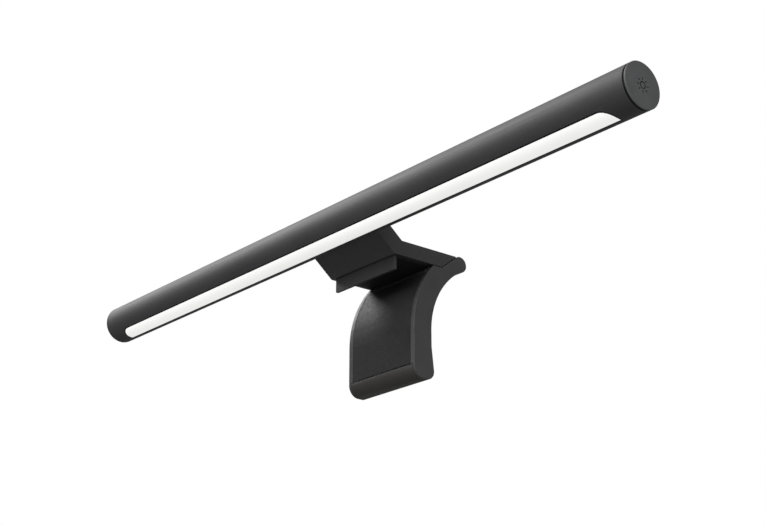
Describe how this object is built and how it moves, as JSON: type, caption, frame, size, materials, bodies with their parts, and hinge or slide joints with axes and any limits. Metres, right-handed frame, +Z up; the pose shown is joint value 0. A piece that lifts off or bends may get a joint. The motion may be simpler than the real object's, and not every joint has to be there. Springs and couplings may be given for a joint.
{
  "type": "monitor light bar",
  "caption": "Round lamp bar held by magnets in the head of a sprung clip that hangs on a screen's top edge and lights the desk in front of it",
  "frame": {"origin": "centre of the clip's width on the underside of the front rest pad, where the clip stands on the screen's top edge", "axes": "+X along the lamp towards the marked end cap, -Y towards the user, +Z up"},
  "size_m": [0.448, 0.0864, 0.0947],
  "materials": {
    "tube_paint": "satin",
    "cap_face": "satin",
    "diffuser_milk": "frosted, lit from inside",
    "reflector_white": "matt",
    "chip_yellow": "gloss",
    "raw_aluminium": "mill",
    "insulator": "matt",
    "board_green": "gloss",
    "component_black": "matt",
    "screw_steel": "zinc",
    "socket_steel": "bright",
    "black_plastic": "matt",
    "pressed_steel": "plated",
    "soft_black": "matt",
    "soft_foot": "matt",
    "clip_charcoal": "fine texture",
    "bush_brass": "turned",
    "leg_charcoal": "fine texture"
  },
  "bodies": {
    "clip": {"arm_bracket": "clip_charcoal", "steel_insert": "pressed_steel", "hook_plate": "clip_charcoal", "plate_screws": "screw_steel", "rest_pad_front": "soft_black", "rest_pad_rear": "soft_black", "lip_pad": "soft_black", "hinge_bushes": "bush_brass", "torsion_spring": "screw_steel"},
    "cradle": {"tilt_cradle": "pressed_steel", "cradle_liner": "soft_black"},
    "lamp": {"lamp_tube": "tube_paint", "end_cap_right": "cap_face", "end_cap_left": "tube_paint", "diffuser": "diffuser_milk", "reflector": "reflector_white", "led_board": "reflector_white", "led_chips": "chip_yellow", "heat_rail": "raw_aluminium", "insulator_sheet": "insulator", "driver_board": "board_green", "driver_parts": "component_black", "radio_module": "board_green", "board_screws": "screw_steel", "led_leads": "component_black", "usb_socket_shell": "socket_steel", "usb_socket_tongue": "component_black", "usb_bezel": "black_plastic", "magnet_holder": "black_plastic", "lamp_magnets": "socket_steel"},
    "leg": {"leg_shell": "leg_charcoal", "leg_pad": "soft_black", "foot_pad": "soft_foot", "counterweight": "pressed_steel", "leg_back_cover": "leg_charcoal", "leg_screws": "screw_steel", "hinge_pin": "screw_steel", "pin_cap": "leg_charcoal"}
  },
  "joints": [
    {"name": "bar_tilt", "type": "hinge", "parent": "clip", "child": "cradle", "pos_m": [0, -0.031, 0.0173], "axis": [1, 0, 0], "range_deg": [-8, 15]},
    {"name": "bar_release", "type": "slide", "parent": "cradle", "child": "lamp", "axis": [0, -0.866, 0.5], "range_m": [0, 0.06]},
    {"name": "leg_swing", "type": "hinge", "parent": "clip", "child": "leg", "pos_m": [0, 0.0392, 0.00505], "axis": [1, 0, 0], "range_deg": [0, 60], "stiffness_Nm_per_rad": 0.1, "springref_deg": -89.95, "deforming": ["torsion_spring"]}
  ]
}
